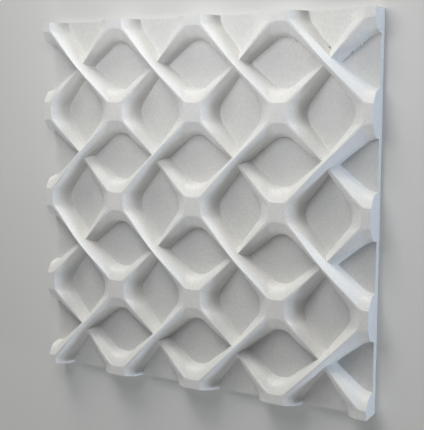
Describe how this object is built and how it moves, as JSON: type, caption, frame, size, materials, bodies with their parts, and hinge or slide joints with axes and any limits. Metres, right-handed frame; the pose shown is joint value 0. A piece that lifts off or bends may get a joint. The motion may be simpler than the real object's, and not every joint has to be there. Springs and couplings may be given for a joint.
{
  "type": "3d wall panel tile",
  "caption": "Square cast plaster wall tile with a woven lattice of diagonal ribs in relief between flat stars, glued to a wall by its flat back and butted against its neighbours.",
  "frame": {"origin": "middle of the flat back", "axes": "+Z out of the relief face, X and Y along the straight sides, with the picture's top side towards +Y"},
  "size_m": [0.5, 0.5, 0.0365],
  "materials": {
    "plaster": "matte cast gypsum, unpainted"
  },
  "bodies": {
    "root": {"relief_panel": "plaster"}
  },
  "joints": []
}
